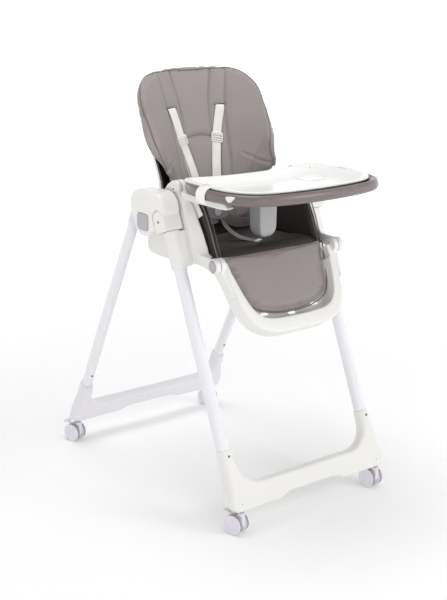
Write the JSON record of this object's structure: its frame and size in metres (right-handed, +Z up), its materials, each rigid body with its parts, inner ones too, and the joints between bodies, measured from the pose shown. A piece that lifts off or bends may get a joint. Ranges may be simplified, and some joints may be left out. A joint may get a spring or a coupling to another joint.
{
  "type": "baby high chair",
  "caption": "Folding baby high chair with hinged tube legs on casters, height-adjusting padded seat, reclining back, footrest, harness and removable tray.",
  "frame": {"origin": "centre of the bounding box on the floor, at rest", "axes": "+Z up; +Y towards the rear foot, so the chair faces -Y; X across the chair, with the child's right at -X"},
  "size_m": [0.5255, 0.8241, 1.0572],
  "materials": {
    "painted_tube": "gloss white powder coat",
    "white_shell": "satin moulded",
    "grey_plastic": "fine texture",
    "wheel_plastic": "smooth",
    "tray_rim": "satin moulded",
    "upholstery": "fine grained coated fabric",
    "dark_liner": "woven",
    "dark_plastic": "fine texture",
    "cream_webbing": "woven webbing",
    "cream_plastic": "smooth",
    "grey_webbing": "woven webbing",
    "steel": "turned",
    "dark_screw": "black oxide"
  },
  "bodies": {
    "frame": {"front_leg_left": "painted_tube", "front_leg_right": "painted_tube", "front_foot": "white_shell", "hub_casing_left": "white_shell", "hub_casing_right": "white_shell", "hub_knuckle_left": "white_shell", "hub_knuckle_right": "white_shell", "fold_pins": "steel", "front_screws": "dark_screw"},
    "rear_frame": {"rear_leg_left": "painted_tube", "rear_leg_right": "painted_tube", "rear_foot": "white_shell", "rear_knuckle_left": "white_shell", "rear_knuckle_right": "white_shell", "rear_screws": "dark_screw"},
    "fold_release_left": {"fold_button_left": "grey_plastic"},
    "fold_release_right": {"fold_button_right": "grey_plastic"},
    "seat": {"seat_slider_left": "white_shell", "seat_slider_right": "white_shell", "side_panel_left": "white_shell", "side_panel_right": "white_shell", "seat_pan": "dark_plastic", "armrest_left": "white_shell", "armrest_right": "white_shell", "seat_cushion": "upholstery", "crotch_strap": "grey_webbing", "lap_straps": "cream_webbing", "harness_buckle": "grey_plastic"},
    "height_release_left": {"height_lever_left": "grey_plastic"},
    "height_release_right": {"height_lever_right": "grey_plastic"},
    "backrest": {"back_shell": "white_shell", "back_liner": "dark_liner", "back_cushion": "upholstery", "shoulder_straps": "cream_webbing", "strap_adjusters": "cream_plastic"},
    "recline_release": {"recline_handle": "grey_plastic"},
    "footrest": {"footrest_shell": "white_shell", "calf_cushion": "upholstery"},
    "footrest_release_left": {"footrest_button_left": "grey_plastic"},
    "footrest_release_right": {"footrest_button_right": "grey_plastic"},
    "tray": {"tray_base": "tray_rim", "tray_post": "grey_plastic"},
    "tray_top": {"tray_insert": "white_shell"},
    "clip_left": {"tray_clip_left": "white_shell"},
    "clip_right": {"tray_clip_right": "white_shell"},
    "caster_front_left": {"caster_housing_front_left": "white_shell"},
    "wheels_front_left": {"caster_wheels_front_left": "wheel_plastic"},
    "brake_lever_front_left": {"caster_brake_front_left": "grey_plastic"},
    "caster_front_right": {"caster_housing_front_right": "white_shell"},
    "wheels_front_right": {"caster_wheels_front_right": "wheel_plastic"},
    "brake_lever_front_right": {"caster_brake_front_right": "grey_plastic"},
    "caster_rear_left": {"caster_housing_rear_left": "white_shell"},
    "wheels_rear_left": {"caster_wheels_rear_left": "wheel_plastic"},
    "brake_lever_rear_left": {"caster_brake_rear_left": "grey_plastic"},
    "caster_rear_right": {"caster_housing_rear_right": "white_shell"},
    "wheels_rear_right": {"caster_wheels_rear_right": "wheel_plastic"},
    "brake_lever_rear_right": {"caster_brake_rear_right": "grey_plastic"}
  },
  "joints": [
    {"name": "frame_fold", "type": "hinge", "parent": "frame", "child": "rear_frame", "pos_m": [0, 0.012, 0.742], "axis": [-1, 0, 0], "range_deg": [0, 42]},
    {"name": "fold_press_left", "type": "slide", "parent": "frame", "child": "fold_release_left", "axis": [1, 0, 0], "range_m": [0, 0.0035], "stiffness_N_per_m": 600, "springref_m": -0.003},
    {"name": "fold_press_right", "type": "slide", "parent": "frame", "child": "fold_release_right", "axis": [-1, 0, 0], "range_m": [0, 0.0035], "stiffness_N_per_m": 600, "springref_m": -0.003},
    {"name": "seat_height", "type": "slide", "parent": "frame", "child": "seat", "axis": [0, -0.3811, -0.9245], "range_m": [0, 0.28]},
    {"name": "height_press_left", "type": "slide", "parent": "seat", "child": "height_release_left", "axis": [0, -0.9245, 0.3811], "range_m": [0, 0.0025], "stiffness_N_per_m": 600, "springref_m": -0.003},
    {"name": "height_press_right", "type": "slide", "parent": "seat", "child": "height_release_right", "axis": [0, -0.9245, 0.3811], "range_m": [0, 0.0025], "stiffness_N_per_m": 600, "springref_m": -0.003},
    {"name": "recline", "type": "hinge", "parent": "seat", "child": "backrest", "pos_m": [0, 0.034, 0.634], "axis": [-1, 0, 0], "range_deg": [0, 32]},
    {"name": "recline_squeeze", "type": "hinge", "parent": "backrest", "child": "recline_release", "pos_m": [0, 0.17162, 0.98246], "axis": [1, 0, 0], "range_deg": [0, 20], "stiffness_Nm_per_rad": 0.6, "springref_deg": -14.32},
    {"name": "footrest_tilt", "type": "hinge", "parent": "seat", "child": "footrest", "pos_m": [0, -0.23, 0.627], "axis": [-1, 0, 0], "range_deg": [-15, 50]},
    {"name": "footrest_press_left", "type": "slide", "parent": "seat", "child": "footrest_release_left", "axis": [1, 0, 0], "range_m": [0, 0.003], "stiffness_N_per_m": 600, "springref_m": -0.003},
    {"name": "footrest_press_right", "type": "slide", "parent": "seat", "child": "footrest_release_right", "axis": [-1, 0, 0], "range_m": [0, 0.003], "stiffness_N_per_m": 600, "springref_m": -0.003},
    {"name": "tray_slide", "type": "slide", "parent": "seat", "child": "tray", "axis": [0, -1, 0], "range_m": [0, 0.07]},
    {"name": "insert_lift", "type": "slide", "parent": "tray", "child": "tray_top", "axis": [0, 0, 1], "range_m": [0, 0.08]},
    {"name": "clip_flip_left", "type": "hinge", "parent": "tray_top", "child": "clip_left", "pos_m": [-0.2095, -0.235, 0.818], "axis": [0, 1, 0], "range_deg": [0, 60]},
    {"name": "clip_flip_right", "type": "hinge", "parent": "tray_top", "child": "clip_right", "pos_m": [0.2095, -0.235, 0.818], "axis": [0, -1, 0], "range_deg": [0, 60]},
    {"name": "swivel_front_left", "type": "hinge", "parent": "frame", "child": "caster_front_left", "pos_m": [-0.22, -0.371, 0], "axis": [0, 0, 1], "continuous": true},
    {"name": "roll_front_left", "type": "hinge", "parent": "caster_front_left", "child": "wheels_front_left", "pos_m": [-0.22414, -0.35658, 0.025], "axis": [0.9613, 0.2756, 0], "continuous": true},
    {"name": "brake_front_left", "type": "hinge", "parent": "caster_front_left", "child": "brake_lever_front_left", "pos_m": [-0.22524, -0.35274, 0.0475], "axis": [-0.9613, -0.2756, 0], "range_deg": [0, 7]},
    {"name": "swivel_front_right", "type": "hinge", "parent": "frame", "child": "caster_front_right", "pos_m": [0.22, -0.371, 0], "axis": [0, 0, 1], "continuous": true},
    {"name": "roll_front_right", "type": "hinge", "parent": "caster_front_right", "child": "wheels_front_right", "pos_m": [0.21895, -0.35604, 0.025], "axis": [0.9976, 0.0698, 0], "continuous": true},
    {"name": "brake_front_right", "type": "hinge", "parent": "caster_front_right", "child": "brake_lever_front_right", "pos_m": [0.21868, -0.35205, 0.0475], "axis": [-0.9976, -0.0698, 0], "range_deg": [0, 7]},
    {"name": "swivel_rear_left", "type": "hinge", "parent": "rear_frame", "child": "caster_rear_left", "pos_m": [-0.235, 0.364, 0], "axis": [0, 0, 1], "continuous": true},
    {"name": "roll_rear_left", "type": "hinge", "parent": "caster_rear_left", "child": "wheels_rear_left", "pos_m": [-0.24013, 0.3781, 0.025], "axis": [0.9397, 0.342, 0], "continuous": true},
    {"name": "brake_rear_left", "type": "hinge", "parent": "caster_rear_left", "child": "brake_lever_rear_left", "pos_m": [-0.2415, 0.38185, 0.0475], "axis": [-0.9397, -0.342, 0], "range_deg": [0, 7]},
    {"name": "swivel_rear_right", "type": "hinge", "parent": "rear_frame", "child": "caster_rear_right", "pos_m": [0.235, 0.364, 0], "axis": [0, 0, 1], "continuous": true},
    {"name": "roll_rear_right", "type": "hinge", "parent": "caster_rear_right", "child": "wheels_rear_right", "pos_m": [0.23086, 0.37842, 0.025], "axis": [0.9613, 0.2756, 0], "continuous": true},
    {"name": "brake_rear_right", "type": "hinge", "parent": "caster_rear_right", "child": "brake_lever_rear_right", "pos_m": [0.22976, 0.38226, 0.0475], "axis": [-0.9613, -0.2756, 0], "range_deg": [0, 7]}
  ]
}
